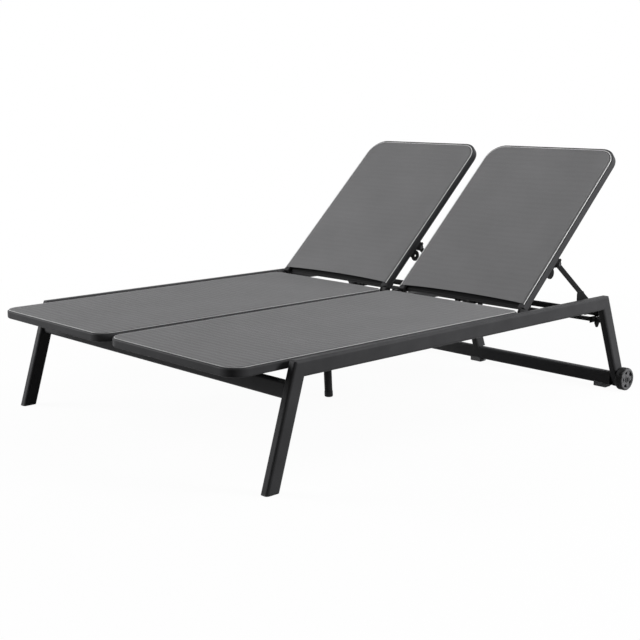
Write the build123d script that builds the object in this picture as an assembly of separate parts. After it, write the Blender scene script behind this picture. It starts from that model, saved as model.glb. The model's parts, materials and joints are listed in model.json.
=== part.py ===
from build123d import *
import math
import os

# Double chaise lounger: two slung seats and two reclining backs on one tube frame.
# Millimetres. X runs across, -Y is the foot end, +Y the head end, +Z up.
# The origin is on the floor, under the middle of the whole lounger.
# Left is -X and right is +X, seen from the foot end.

# Side frames
overall_width = 1300.0
rail_top = 354.0
rail_height = 49.0
rail_width = 30.0
rail_front = -723.2
rail_rear = 772.8
frame_wall = 2.0
frame_corner = 9.0
elbow_radius = 9.0
leg_depth = 47.0
front_lean_degrees = 16.83
rear_lean_degrees = 21.75
front_cap_height = 5.0
rear_leg_end = 12.0
rear_cap_height = 2.5

# Cross members
bar_corner = 9.0
front_bar_height = 49.5
front_bar_depth = 30.0
front_bar_ahead = 0.87
floor_bar_height = 49.0
floor_bar_depth = 30.0
floor_bar_ahead = 13.17
upper_bar_height = 14.0
upper_bar_depth = 20.0
upper_bar_corner = 5.0
upper_bar_behind = 5.8
upper_bar_top = 264.0

# Middle of the frame
post_end = 20.0
beam_width = 40.0
beam_height = 30.0
beam_corner = 5.0
beam_overhang = 2.2
beam_cap_thick = 2.5
centre_leg_radius = 14.0
centre_leg_wall = 2.0
centre_leg_foot = 24.0
centre_leg_lean_degrees = 3.5
centre_cap_wall = 1.0
centre_cap_height = 24.0
centre_cap_floor = 5.0
centre_cap_edge = 4.0

# Floor clips under the rear bar
clip_length = 48.0
clip_wall = 4.0
clip_lip = 6.0
clip_edge = 4.0
clip_inset = 16.0

# Seats
seat_front = -903.5
seat_rear = 316.0
seat_below_rail = 1.5
seat_on_beam = 6.0
seat_side_gap = 13.0
seat_front_radius = 53.0
seat_rear_radius = 30.0
seat_bar_places_shares = (0.31, 0.69)

# Tube and cloth of the four panels
panel_tube_width = 25.0
panel_tube_height = 25.7
panel_wall = 1.6
panel_edge = 5.0
sling_thick = 2.0
sling_gap = 0.3
sling_inset = 7.0
panel_bar_height = 14.0
panel_bar_depth = 25.0
panel_bar_corner = 4.0

# Backs
recline_rest_degrees = 43.4
hinge_behind_seat = 23.3
hinge_rise = 17.5
back_beam_gap = 11.0
back_side_gap = 22.0
back_tube_end = 14.5
back_cap_thick = 2.5
back_high_end = 748.6
back_top_above_hinge = 10.8
back_top_radius = 70.0
back_bar_places = (37.0, 206.0)
back_cloth_end = 30.0
back_cloth_bow = 10.0

# Back hinges
hinge_pin_radius = 5.0
hinge_head_radius = 8.0
hinge_head_thick = 3.0
hinge_boss_radius = 11.0
hinge_arm_thick = 6.0
hinge_arm_inset = 7.0
hinge_eye_radius = 13.0
hinge_foot_length = 60.0
hinge_foot_drop = 10.0
beam_ear_thick = 5.0
running_gap = 0.05
side_gap = 0.5

# Stay that props each back
stay_pivot_up = 248.0
stay_pivot_drop = 42.0
stay_inset = 17.0
stay_arm_width = 16.0
stay_arm_thick = 8.0
stay_pin_radius = 4.0
stay_pin_head_radius = 7.0
stay_pin_head_thick = 3.0
foot_behind_bar = 24.0
foot_radius = 11.0
foot_wall = 2.0
foot_z = 280.0
foot_cap_thick = 2.0
foot_eye_wall = 3.0

# Ears under the back tubes
ear_thick = 3.0
ear_web = 3.0
ear_lobe_radius = 13.0
ear_stop_radius = 20.0
ear_stop_from_pivot = 42.0
ear_stop_hole_radius = 4.5
ear_tip_radius = 6.0
ear_tip_ahead = 14.0
ear_tip_rise = 5.0

# Notched racks
rack_thick = 4.0
rack_stand_off = 3.0
rack_bottom = 294.0
rack_step_back = 47.5
rack_step_up = 12.0
rack_first_notch_inset = 2.5
rack_first_notch_z = 315.0
rack_notches = 3
rack_gap = 0.8
rack_wall = 7.0
rack_horn_top = 381.0
rack_horn_length = 38.0
rack_horn_radius = 9.0
rack_bolt_radius = 5.0
rack_bolt_head_thick = 3.0
rack_bolt_rise = 7.0

# Rest catches on the upper rear bar
catch_thick = 4.0
catch_side_gap = 4.0
catch_web = 4.0
catch_under_foot = 1.5
catch_tail_bottom = 231.0
catch_tail_width = 9.0

# Seat brackets and their screws
bracket_length = 40.0
bracket_reach = 25.0
bracket_drop = 17.0
bracket_thick = 3.0
bracket_place_shares = (0.3, 0.6, 0.9)
screw_head_radius = 5.0
screw_head_thick = 2.6

# Wheels
wheel_radius = 41.0
wheel_lift = 1.0
wheel_width = 30.0
wheel_ahead = 9.47
wheel_stand_off = 5.0
hub_radius = 34.0
hub_boss_radius = 11.0
hub_dish = 3.0
hub_rim = 2.5
pocket_count = 5
pocket_depth = 15.0
pocket_inner_radius = 19.0
pocket_corner = 1.8
spoke_width = 16.0
tyre_groove_width = 3.0
tyre_groove_depth = 1.5
tyre_edge = 6.0
axle_radius = 4.0
axle_head_radius = 7.5
axle_head_thick = 3.0
spacer_radius = 9.0
wheel_side_gap = 0.3

overrun = 20.0

rail_outer = overall_width / 2
rail_inner = rail_outer - rail_width
rail_middle = rail_outer - rail_width / 2
rail_bottom = rail_top - rail_height
beam_face = beam_width / 2
beam_rear_end = rail_rear + beam_overhang
seat_top = rail_top - seat_below_rail
seat_inner_edge = beam_face - seat_on_beam
seat_outer_edge = rail_inner - seat_side_gap
seat_bottom = seat_top - sling_thick - sling_gap - panel_tube_height
front_bar_top = seat_bottom - beam_height
hinge_y = seat_rear + hinge_behind_seat
hinge_z = seat_bottom + hinge_rise
back_inner_edge = beam_face + back_beam_gap
back_outer_edge = rail_inner - back_side_gap
back_frame_top = back_top_above_hinge - sling_thick - sling_gap
back_frame_bottom = back_frame_top - panel_tube_height
stay_outer_x = back_outer_edge - stay_inset
stay_inner_x = back_inner_edge + stay_inset
foot_inner_end = beam_face + rack_stand_off
foot_outer_end = rail_inner - rack_stand_off
wheel_z = wheel_radius + wheel_lift
centre_cap_radius = centre_leg_radius + centre_cap_wall


def leg_middle_y(corner_y, lean, way, z):
    """Where the middle line of a leg crosses height z."""
    outer_y = corner_y + way * (rail_top - z) * math.tan(math.radians(lean))
    return outer_y - way * leg_depth / 2 / math.cos(math.radians(lean))


front_bar_middle = leg_middle_y(rail_front, front_lean_degrees, -1, front_bar_top - front_bar_height / 2)
front_bar_face = front_bar_middle - front_bar_ahead - front_bar_depth / 2
floor_bar_middle = leg_middle_y(rail_rear, rear_lean_degrees, 1, rear_leg_end + floor_bar_height / 2)
floor_bar_face = floor_bar_middle - floor_bar_ahead - floor_bar_depth / 2
upper_bar_middle = leg_middle_y(rail_rear, rear_lean_degrees, 1, upper_bar_top - upper_bar_height / 2)
upper_bar_face = upper_bar_middle + upper_bar_behind - upper_bar_depth / 2
foot_y = upper_bar_face + foot_behind_bar
rack_first_notch_y = rail_rear - rack_first_notch_inset
wheel_y = leg_middle_y(rail_rear, rear_lean_degrees, 1, wheel_z) - wheel_ahead


def write(node, shape):
    """Write one sub-part to its own file."""
    export_step(shape, f"parts/{node}.step")


def write_pair(name, right_shape):
    """Write the right hand sub-part and its mirror image."""
    write(f"right_{name}", right_shape)
    write(f"left_{name}", mirror(right_shape, about=Plane.YZ))


def both_sides(right_shapes):
    """Right hand solids and their mirror images, as one group."""
    left_shapes = [mirror(shape, about=Plane.YZ) for shape in right_shapes]
    return Compound(children=list(right_shapes) + left_shapes)


def side_plane(x):
    """Sketch plane across the lounger at x: its x is the row's Y, its y the row's Z."""
    return Plane(origin=(x, 0, 0), x_dir=(0, 1, 0), z_dir=(1, 0, 0))


def plate(outline, x_low, thick):
    """Flat plate from a side outline, from x_low towards +X."""
    return extrude(side_plane(x_low) * outline, thick)


def rod(x_low, x_high, y, z, radius):
    """Round bar that runs across the lounger."""
    return plate(Pos(y, z) * Circle(radius), x_low, x_high - x_low)


def box_between(low, high):
    """Box from its lowest to its highest corner."""
    size = [b - a for a, b in zip(low, high)]
    return Pos(*low) * Box(*size, align=(Align.MIN, Align.MIN, Align.MIN))


def tube_section(width, depth, corner, wall):
    """Section of a rectangular tube with round corners."""
    hollow = RectangleRounded(width - 2 * wall, depth - 2 * wall, corner - wall)
    return RectangleRounded(width, depth, corner) - hollow


def keep_side(shape, point, along, inside):
    """Cut a solid at the plane through a side point, and keep the part towards inside."""
    normal = Vector(0, -along[1], along[0])
    towards = Vector(0, inside[0] - point[0], inside[1] - point[1])
    if normal.dot(towards) < 0:
        normal = -normal
    cut = Plane(origin=(0, point[0], point[1]), z_dir=normal)
    return split(shape, bisect_by=cut, keep=Keep.TOP)


def lean_direction(lean, way):
    """Downward unit direction of a leg: way is -1 towards the foot end, 1 towards the head end."""
    angle = math.radians(lean)
    return (way * math.sin(angle), -math.cos(angle))


def leg_inner_y(corner_y, lean, way, z):
    """Where the inner edge of a leg crosses height z."""
    outer_y = corner_y + way * (rail_top - z) * math.tan(math.radians(lean))
    return outer_y - way * leg_depth / math.cos(math.radians(lean))


def leg_blank(x_middle, corner_y, lean, way, solid=False):
    """Long leaning tube whose outer edge passes through the top corner of the rail."""
    down = lean_direction(lean, way)
    inward = (-way * math.cos(math.radians(lean)), -math.sin(math.radians(lean)))
    middle_y = corner_y + inward[0] * leg_depth / 2
    middle_z = rail_top + inward[1] * leg_depth / 2
    start = (x_middle, middle_y - down[0] * leg_depth, middle_z - down[1] * leg_depth)
    sketch_plane = Plane(origin=start, x_dir=(1, 0, 0), z_dir=(0, down[0], down[1]))
    section = RectangleRounded(rail_width, leg_depth, frame_corner)
    if not solid:
        section = tube_section(rail_width, leg_depth, frame_corner, frame_wall)
    return extrude(sketch_plane * section, 2 * rail_top)


def elbow_waste(corner, along_a, along_b):
    """What a rounded outer elbow leaves out of the sharp corner between two side directions."""
    half = math.acos(along_a[0] * along_b[0] + along_a[1] * along_b[1]) / 2
    reach = elbow_radius / math.tan(half)
    point_a = (corner[0] + along_a[0] * reach, corner[1] + along_a[1] * reach)
    point_b = (corner[0] + along_b[0] * reach, corner[1] + along_b[1] * reach)
    middle = (along_a[0] + along_b[0], along_a[1] + along_b[1])
    middle_length = math.hypot(*middle)
    depth = elbow_radius / math.sin(half)
    centre = (corner[0] + middle[0] / middle_length * depth, corner[1] + middle[1] / middle_length * depth)
    kite = make_face(Polyline(corner, point_a, centre, point_b, close=True))
    waste = kite - Pos(*centre) * Circle(elbow_radius)
    return plate(waste, rail_inner - overrun, rail_width + 2 * overrun)


def mitre(corner_y, lean, way):
    """Mitre between rail and leg: a point on it and its side direction."""
    corner = (corner_y, rail_top)
    inner = (leg_inner_y(corner_y, lean, way, rail_bottom), rail_bottom)
    return corner, (inner[0] - corner[0], inner[1] - corner[1])


def make_side_rail():
    """Top tube of the right side frame, mitred at both ends."""
    section = tube_section(rail_width, rail_height, frame_corner, frame_wall)
    start = (rail_middle, rail_front - overrun, rail_top - rail_height / 2)
    start_plane = Plane(origin=start, z_dir=(0, 1, 0), x_dir=(1, 0, 0))
    rail = extrude(start_plane * section, rail_rear - rail_front + 2 * overrun)
    inside = ((rail_front + rail_rear) / 2, rail_top)
    for corner_y, lean, way in ((rail_front, front_lean_degrees, -1), (rail_rear, rear_lean_degrees, 1)):
        corner, along = mitre(corner_y, lean, way)
        rail = keep_side(rail, corner, along, inside)
        rail -= elbow_waste(corner, (-way, 0), lean_direction(lean, way))
    return rail


def make_leg(corner_y, lean, way, end_z):
    """Leg of the right side frame, from the mitre down to end_z."""
    leg = leg_blank(rail_middle, corner_y, lean, way)
    corner, along = mitre(corner_y, lean, way)
    foot = (corner_y + way * rail_top, end_z)
    leg = keep_side(leg, corner, along, foot)
    leg = keep_side(leg, foot, (1, 0), (corner_y, rail_top))
    return leg - elbow_waste(corner, (-way, 0), lean_direction(lean, way))


def make_leg_cap(corner_y, lean, way, low_z, high_z):
    """Plastic plug at the bottom of a leg."""
    cap = leg_blank(rail_middle, corner_y, lean, way, solid=True)
    cap = keep_side(cap, (corner_y, high_z), (1, 0), (corner_y, low_z))
    return keep_side(cap, (corner_y, low_z), (1, 0), (corner_y, high_z))


def cross_tube(x_low, x_high, face_y, top_z, depth, height, corner):
    """Rectangular tube across the frame between two x values."""
    section = tube_section(depth, height, corner, frame_wall)
    middle = Pos(face_y + depth / 2, top_z - height / 2)
    return plate(middle * section, x_low, x_high - x_low)


def beam_plane(y):
    """Plane across the centre beam at y."""
    return Plane(origin=(0, y, seat_bottom - beam_height / 2), z_dir=(0, 1, 0), x_dir=(1, 0, 0))


def make_centre_beam():
    """Flat tube along the middle, which carries the inner sides of both seats."""
    front = front_bar_face + beam_cap_thick
    section = tube_section(beam_width, beam_height, beam_corner, frame_wall)
    return extrude(beam_plane(front) * section, beam_rear_end - front)


def make_beam_caps():
    """End plugs of the centre beam."""
    section = RectangleRounded(beam_width, beam_height, beam_corner)
    caps = [extrude(beam_plane(y) * section, beam_cap_thick) for y in (front_bar_face, beam_rear_end)]
    return Compound(children=caps)


def make_centre_post():
    """Leaning tube from the centre beam down to the front of the floor bar."""
    post = leg_blank(0, rail_rear, rear_lean_degrees, 1)
    post = keep_side(post, (rail_rear, front_bar_top), (1, 0), (rail_rear, 0))
    post = keep_side(post, (rail_rear, post_end), (1, 0), (rail_rear, rail_top))
    bar_top = rear_leg_end + floor_bar_height
    notch = box_between((-rail_width, floor_bar_face, 0), (rail_width, floor_bar_face + rail_top, bar_top))
    return post - notch


def centre_leg_frame(z):
    """Plane across the slim middle leg where its axis crosses height z."""
    slope = math.tan(math.radians(centre_leg_lean_degrees))
    down = lean_direction(centre_leg_lean_degrees, 1)
    return Plane(origin=(0, centre_leg_foot - slope * z, z), x_dir=(1, 0, 0), z_dir=(0, -down[0], -down[1]))


def make_centre_leg():
    """Slim round leg under the middle of the centre beam."""
    section = Circle(centre_leg_radius) - Circle(centre_leg_radius - centre_leg_wall)
    leg = extrude(centre_leg_frame(0) * section, rail_top)
    leg = keep_side(leg, (centre_leg_foot, front_bar_top), (1, 0), (centre_leg_foot, 0))
    return keep_side(leg, (centre_leg_foot, centre_cap_floor), (1, 0), (centre_leg_foot, rail_top))


def make_centre_leg_cap():
    """Round foot cap that the slim leg stands in, leaning with it."""
    cup = extrude(centre_leg_frame(-centre_cap_edge) * Circle(centre_cap_radius), centre_cap_height)
    cup = keep_side(cup, (centre_leg_foot, 0), (1, 0), (centre_leg_foot, rail_top))
    cup = fillet(cup.edges().group_by(Axis.Z)[0], centre_cap_edge)
    core = extrude(centre_leg_frame(0) * Circle(centre_leg_radius), rail_top)
    core = keep_side(core, (centre_leg_foot, centre_cap_floor), (1, 0), (centre_leg_foot, rail_top))
    return cup - core


def make_clip(x_middle):
    """Saddle clip that carries the rear floor bar just off the floor."""
    low = (x_middle - clip_length / 2, floor_bar_face - clip_wall, 0)
    high = (x_middle + clip_length / 2, floor_bar_face + floor_bar_depth + clip_wall, rear_leg_end + clip_lip)
    clip = box_between(low, high)
    clip = fillet(clip.edges().filter_by(Axis.X), clip_edge - running_gap)
    bar_low = (low[0] - overrun, floor_bar_face, rear_leg_end)
    bar_high = (high[0] + overrun, floor_bar_face + floor_bar_depth, rear_leg_end + floor_bar_height)
    seat = box_between(bar_low, bar_high)
    seat = fillet(seat.edges().filter_by(Axis.X), bar_corner)
    return clip - seat


def panel_outline(x_low, x_high, y_low, y_high, low_radius, high_radius):
    """Outline of a seat or back with its own corner radius at each end."""
    middle = Pos((x_low + x_high) / 2, (y_low + y_high) / 2)
    sheet = middle * Rectangle(x_high - x_low, y_high - y_low)
    sheet = fillet(sheet.vertices().group_by(Axis.Y)[0], low_radius)
    return fillet(sheet.vertices().group_by(Axis.Y)[-1], high_radius)


def panel_hoop(outline, bottom_z):
    """Solid hoop that follows a panel outline, with round outer edges."""
    hoop = outline - offset(outline, -panel_tube_width)
    hoop = Pos(0, 0, bottom_z) * extrude(hoop, panel_tube_height)
    top = hoop.faces().sort_by(Axis.Z)[-1]
    hoop = fillet(top.outer_wire().edges(), panel_edge)
    bottom = hoop.faces().sort_by(Axis.Z)[0]
    return fillet(bottom.outer_wire().edges(), panel_edge)


def panel_frame(outline, bottom_z):
    """Closed hoop of rectangular tube that follows a panel outline."""
    hollow = offset(outline, -panel_wall) - offset(outline, panel_wall - panel_tube_width)
    hollow = extrude(hollow, panel_tube_height - 2 * panel_wall)
    return panel_hoop(outline, bottom_z) - Pos(0, 0, bottom_z + panel_wall) * hollow


def panel_sling(outline, top_z):
    """Plain sheet that stands for the stretched cloth of one panel."""
    return Pos(0, 0, top_z - sling_thick) * extrude(offset(outline, -sling_inset), sling_thick)


def panel_bar(x_low, x_high, y_middle, bottom_z):
    """Flat cross tube inside a panel frame."""
    section = tube_section(panel_bar_depth, panel_bar_height, panel_bar_corner, panel_wall)
    middle = Pos(y_middle, bottom_z + panel_bar_height / 2)
    return plate(middle * section, x_low + panel_tube_width, x_high - x_low - 2 * panel_tube_width)


def seat_outline():
    """Outline of the right seat."""
    return panel_outline(
        seat_inner_edge, seat_outer_edge, seat_front, seat_rear, seat_front_radius, seat_rear_radius
    )


def make_seat_bars():
    """Cross tubes under the right seat's cloth."""
    bars = []
    for share in seat_bar_places_shares:
        y = seat_front + share * (seat_rear - seat_front)
        bars.append(panel_bar(seat_inner_edge, seat_outer_edge, y, seat_bottom))
    return Compound(children=bars)


def back_outline(low_end):
    """Outline of the right back from low_end up, lying flat with the hinge line at y zero."""
    middle = Pos((back_inner_edge + back_outer_edge) / 2, (low_end + back_high_end) / 2)
    sheet = middle * Rectangle(back_outer_edge - back_inner_edge, back_high_end - low_end)
    return fillet(sheet.vertices().group_by(Axis.Y)[-1], back_top_radius)


def on_back(shape):
    """Move a shape from the back's own flat frame to the resting recline."""
    return Pos(0, hinge_y, hinge_z) * Rot(recline_rest_degrees, 0, 0) * shape


def make_back_frame():
    """Tube of the right back: up one side, over the top and down the other, open at the low end."""
    hoop = panel_frame(back_outline(back_tube_end - 2 * panel_tube_width), back_frame_bottom)
    return keep_side(hoop, (back_tube_end + back_cap_thick, 0), (0, 1), (back_high_end, 0))


def make_back_end_caps():
    """Plugs on the low ends of the right back's tube."""
    hoop = panel_hoop(back_outline(back_tube_end - 2 * panel_tube_width), back_frame_bottom)
    caps = keep_side(hoop, (back_tube_end + back_cap_thick, 0), (0, 1), (back_tube_end, 0))
    return keep_side(caps, (back_tube_end, 0), (0, 1), (back_high_end, 0))


def make_back_bars():
    """Cross tubes under the right back's cloth."""
    places = back_bar_places
    bars = [panel_bar(back_inner_edge, back_outer_edge, place, back_frame_bottom) for place in places]
    return Compound(children=bars)


def make_back_sling():
    """Plain sheet that stands for the right back's cloth, its free low edge bowed upwards."""
    sheet = offset(back_outline(back_cloth_end - sling_inset), -sling_inset)
    half_width = (back_outer_edge - back_inner_edge) / 2 - sling_inset
    bow_radius = (half_width ** 2 + back_cloth_bow ** 2) / (2 * back_cloth_bow)
    bow_middle = back_cloth_end + back_cloth_bow - bow_radius
    sheet -= Pos((back_inner_edge + back_outer_edge) / 2, bow_middle) * Circle(bow_radius)
    return Pos(0, 0, back_top_above_hinge - sling_thick) * extrude(sheet, sling_thick)


def hinge_arm_outline():
    """Side outline of one hinge arm in the back's flat frame: eye, neck and a foot under the tube."""
    neck_end = back_tube_end - side_gap
    low = back_frame_bottom - hinge_foot_drop
    points = [(-hinge_eye_radius, 0), (0, low), (hinge_foot_length - hinge_foot_drop, low)]
    points += [(hinge_foot_length, back_frame_bottom), (neck_end, back_frame_bottom), (neck_end, 0)]
    outline = make_face(Polyline(*points, close=True)) + Circle(hinge_eye_radius)
    return outline - Circle(hinge_pin_radius + running_gap)


def make_hinge_arms():
    """Two plates that carry the right back on its hinge pins."""
    arms = []
    places = (back_outer_edge - hinge_arm_inset - hinge_arm_thick, back_inner_edge + hinge_arm_inset)
    for x_low in places:
        arms.append(on_back(plate(hinge_arm_outline(), x_low, hinge_arm_thick)))
    return Compound(children=arms)


def hinge_pin_spans():
    """Carrier face, arm's near face, pin's far end and way inwards for both hinges of the right back."""
    outer_near = back_outer_edge - hinge_arm_inset
    inner_near = back_inner_edge + hinge_arm_inset
    outer_far = outer_near - hinge_arm_thick - side_gap
    inner_far = inner_near + hinge_arm_thick + side_gap
    return ((rail_inner, outer_near, outer_far, -1), (beam_face, inner_near, inner_far, 1))


def make_hinge_bosses():
    """Round bosses on rail and beam ear that the hinge pins stand in."""
    bosses = []
    for carrier, near, _, way in hinge_pin_spans():
        face = near - way * side_gap
        low, high = sorted((carrier, face))
        boss = rod(low, high, hinge_y, hinge_z, hinge_boss_radius)
        boss -= rod(low - overrun, high + overrun, hinge_y, hinge_z, hinge_pin_radius)
        bosses.append(boss)
    return bosses


def make_beam_ear():
    """Upright plate on the centre beam that carries the right back's inner hinge pin."""
    rise = hinge_z - seat_bottom
    outline = Circle(hinge_eye_radius)
    outline += Pos(0, -rise / 2) * Rectangle(2 * hinge_eye_radius, rise)
    below = Rectangle(4 * hinge_eye_radius, 2 * hinge_eye_radius)
    outline -= Pos(0, -rise - hinge_eye_radius) * below
    outline = Pos(hinge_y, hinge_z) * outline
    return plate(outline, beam_face - beam_ear_thick, beam_ear_thick)


def make_hinge_pins():
    """Headed pins of the right back."""
    pins = []
    for carrier, _, far, way in hinge_pin_spans():
        head_end = far + way * hinge_head_thick
        pin = rod(min(carrier, far), max(carrier, far), hinge_y, hinge_z, hinge_pin_radius)
        pin += rod(min(far, head_end), max(far, head_end), hinge_y, hinge_z, hinge_head_radius)
        pins.append(pin)
    return pins


def ear_outline(with_stop):
    """Side outline of one ear plate in the back's flat frame, with or without the stop lobe."""
    stop_place = stay_pivot_up - ear_stop_from_pivot
    base_low = stop_place - ear_stop_radius
    base_high = stay_pivot_up + ear_lobe_radius
    base_drop = ear_lobe_radius
    base = Pos((base_low + base_high) / 2, back_frame_bottom - base_drop / 2)
    outline = base * Rectangle(base_high - base_low, base_drop)
    outline += Pos(stay_pivot_up, -stay_pivot_drop) * Circle(ear_lobe_radius)
    outline += Pos(stay_pivot_up + ear_tip_ahead, ear_tip_rise - stay_pivot_drop) * Circle(ear_tip_radius)
    if with_stop:
        outline += Pos(stop_place, -stay_pivot_drop) * Circle(ear_stop_radius)
        outline -= Pos(stop_place, -stay_pivot_drop) * Circle(ear_stop_hole_radius)
    above = Pos(stay_pivot_up, back_frame_bottom + rail_height) * Rectangle(base_high, 2 * rail_height)
    return outline - above


def make_stay_ears():
    """Two folded ear brackets under the right back's side tubes."""
    ears = []
    reach = stay_arm_thick / 2 + side_gap
    for x_middle in (stay_outer_x, stay_inner_x):
        hole = Pos(stay_pivot_up, -stay_pivot_drop) * Circle(stay_pin_radius)
        bracket = plate(ear_outline(False) - hole, x_middle + reach, ear_thick)
        bracket += plate(ear_outline(True) - hole, x_middle - reach - ear_thick, ear_thick)
        web_low = stay_pivot_up - ear_stop_from_pivot - ear_stop_radius
        web_high = stay_pivot_up + ear_lobe_radius
        low = (x_middle - reach - ear_thick, web_low, back_frame_bottom - ear_web)
        high = (x_middle + reach + ear_thick, web_high, back_frame_bottom)
        bracket += box_between(low, high)
        ears.append(on_back(bracket))
    return Compound(children=ears)


def pivot_point():
    """Side place of the stay pivot at the resting recline."""
    angle = math.radians(recline_rest_degrees)
    y = hinge_y + stay_pivot_up * math.cos(angle) + stay_pivot_drop * math.sin(angle)
    z = hinge_z + stay_pivot_up * math.sin(angle) - stay_pivot_drop * math.cos(angle)
    return y, z


def make_stay_pins():
    """Headed pins through the ears of the right back."""
    pins = []
    y, z = pivot_point()
    reach = stay_arm_thick / 2 + side_gap + ear_thick
    for x_middle in (stay_outer_x, stay_inner_x):
        pin = rod(x_middle - reach, x_middle + reach, y, z, stay_pin_radius)
        pin += rod(x_middle - reach - stay_pin_head_thick, x_middle - reach, y, z, stay_pin_head_radius)
        pin += rod(x_middle + reach, x_middle + reach + stay_pin_head_thick, y, z, stay_pin_head_radius)
        pins.append(pin)
    return Compound(children=pins)


def make_stay_arms():
    """Two flat arms that run from the ear pivots to the foot tube."""
    y, z = pivot_point()
    length = math.hypot(foot_y - y, foot_z - z)
    tilt = math.degrees(math.atan2(foot_z - z, foot_y - y))
    along = Pos(y, z) * Rot(0, 0, tilt)
    outline = along * Pos(length / 2, 0) * Rectangle(length, stay_arm_width)
    outline += Pos(y, z) * Circle(stay_arm_width / 2)
    outline += Pos(foot_y, foot_z) * Circle(foot_radius + foot_eye_wall)
    outline -= Pos(y, z) * Circle(stay_pin_radius + running_gap)
    outline -= Pos(foot_y, foot_z) * Circle(foot_radius)
    arms = [plate(outline, x - stay_arm_thick / 2, stay_arm_thick) for x in (stay_outer_x, stay_inner_x)]
    return Compound(children=arms)


def make_foot_tube():
    """Round tube across the foot of the stay, which drops into the racks."""
    section = Circle(foot_radius) - Circle(foot_radius - foot_wall)
    length = foot_outer_end - foot_inner_end - 2 * foot_cap_thick
    return plate(Pos(foot_y, foot_z) * section, foot_inner_end + foot_cap_thick, length)


def make_foot_caps():
    """End plugs of the foot tube."""
    inner = rod(foot_inner_end, foot_inner_end + foot_cap_thick, foot_y, foot_z, foot_radius)
    outer = rod(foot_outer_end - foot_cap_thick, foot_outer_end, foot_y, foot_z, foot_radius)
    return Compound(children=[inner, outer])


def notch_places():
    """Side places where the foot tube sits in the rack, from the lowest notch up."""
    steps = range(rack_notches)
    return [(rack_first_notch_y - i * rack_step_back, rack_first_notch_z + i * rack_step_up) for i in steps]


def rack_outline():
    """Rising toothed plate, its notches open upwards and its front end a tall horn."""
    notch = foot_radius + rack_gap
    places = notch_places()
    rear_y = places[0][0] + notch + rack_wall
    last_y, last_z = places[-1]
    horn_y = last_y - notch
    front_y = horn_y - rack_horn_length
    points = [(rear_y, rack_bottom), (rear_y, places[0][1])]
    points += [(places[0][0], places[0][1]), (last_y, last_z)]
    points += [(horn_y, last_z), (horn_y, rack_horn_top), (front_y, rack_horn_top)]
    points += [(front_y, rail_bottom + rack_wall), (last_y, rack_bottom)]
    outline = make_face(Polyline(*points, close=True))
    outline = fillet(outline.vertices().group_by(Axis.Y)[-1], rack_horn_radius)
    for y, z in places:
        slot = Pos(y, z) * Circle(notch)
        slot += Pos(y, z + notch) * Rectangle(2 * notch, 2 * notch)
        outline -= slot
    return outline


def rack_bolt_places():
    """Side places of the two bolts that hold a rack to its tube."""
    rear, _, last = notch_places()
    rise = rail_bottom + rack_bolt_rise
    horn_middle = last[0] - foot_radius - rack_gap - rack_horn_length / 2
    return [(rear[0] - rack_step_back / 2, rise), (horn_middle, rise)]


def rack_blank(x_low):
    """One drilled rack plate."""
    outline = rack_outline()
    for y, z in rack_bolt_places():
        outline -= Pos(y, z) * Circle(rack_bolt_radius)
    return plate(outline, x_low, rack_thick)


def make_racks():
    """Outer and inner rack of the right back."""
    outer = rack_blank(rail_inner - rack_stand_off - rack_thick)
    inner = rack_blank(beam_face + rack_stand_off)
    return Compound(children=[outer, inner])


def make_rack_bolts():
    """Studs that hold the racks off the tubes."""
    bolts = []
    carriers = ((rail_inner, -1), (beam_face, 1))
    for carrier, way in carriers:
        end = carrier + way * (rack_stand_off + rack_thick + rack_bolt_head_thick)
        for y, z in rack_bolt_places():
            bolts.append(rod(min(carrier, end), max(carrier, end), y, z, rack_bolt_radius))
    return bolts


def catch_outline(with_tail):
    """Side outline of one rest catch round the upper bar, with or without its hook tail."""
    top = foot_z - foot_radius - catch_under_foot
    front = upper_bar_face - catch_web
    rear = upper_bar_face + upper_bar_depth + catch_web
    low = upper_bar_top - upper_bar_height - catch_web
    middle = upper_bar_face + upper_bar_depth / 2
    half_tail = catch_tail_width / 2
    points = [(front, top), (foot_y + foot_radius, top), (foot_y + foot_radius, top - catch_web), (rear, low)]
    if with_tail:
        points += [(middle + half_tail, catch_tail_bottom), (middle - half_tail, catch_tail_bottom)]
    points += [(front, low)]
    outline = make_face(Polyline(*points, close=True))
    hole = RectangleRounded(upper_bar_depth, upper_bar_height, upper_bar_corner)
    return outline - Pos(middle, upper_bar_top - upper_bar_height / 2) * hole


def make_catches():
    """Pairs of rest catches on both sides of each stay arm."""
    catches = []
    reach = stay_arm_thick / 2 + catch_side_gap
    for x_middle in (stay_outer_x, stay_inner_x):
        catches.append(plate(catch_outline(True), x_middle + reach, catch_thick))
        catches.append(plate(catch_outline(False), x_middle - reach - catch_thick, catch_thick))
    return catches


def bracket_places():
    """Y places of the seat brackets, along the stretch where rail and seat run side by side."""
    return [rail_front + share * (seat_rear - rail_front) for share in bracket_place_shares]


def make_bracket(carrier, way, y):
    """Folded bracket between a tube of the frame and the bottom of the seat."""
    low_y, high_y = y - bracket_length / 2, y + bracket_length / 2
    shelf_end = carrier + way * bracket_reach
    wall_end = carrier + way * bracket_thick
    low = (min(carrier, shelf_end), low_y, seat_bottom - bracket_thick)
    high = (max(carrier, shelf_end), high_y, seat_bottom)
    wall_low = (min(carrier, wall_end), low_y, seat_bottom - bracket_drop)
    wall_high = (max(carrier, wall_end), high_y, seat_bottom)
    return box_between(low, high) + box_between(wall_low, wall_high)


def make_seat_screw(carrier, way, y):
    """Head of the upright screw under one seat bracket."""
    x = carrier + way * (bracket_reach - 2 * screw_head_radius)
    head = Cylinder(screw_head_radius, screw_head_thick, align=(Align.CENTER, Align.CENTER, Align.MAX))
    return Pos(x, y, seat_bottom - bracket_thick) * head


def seat_fixings(make):
    """One fixing at every place along the right seat, on the rail and on the beam."""
    carriers = ((rail_inner, -1), (beam_face, 1))
    return [make(carrier, way, y) for carrier, way in carriers for y in bracket_places()]


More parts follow.
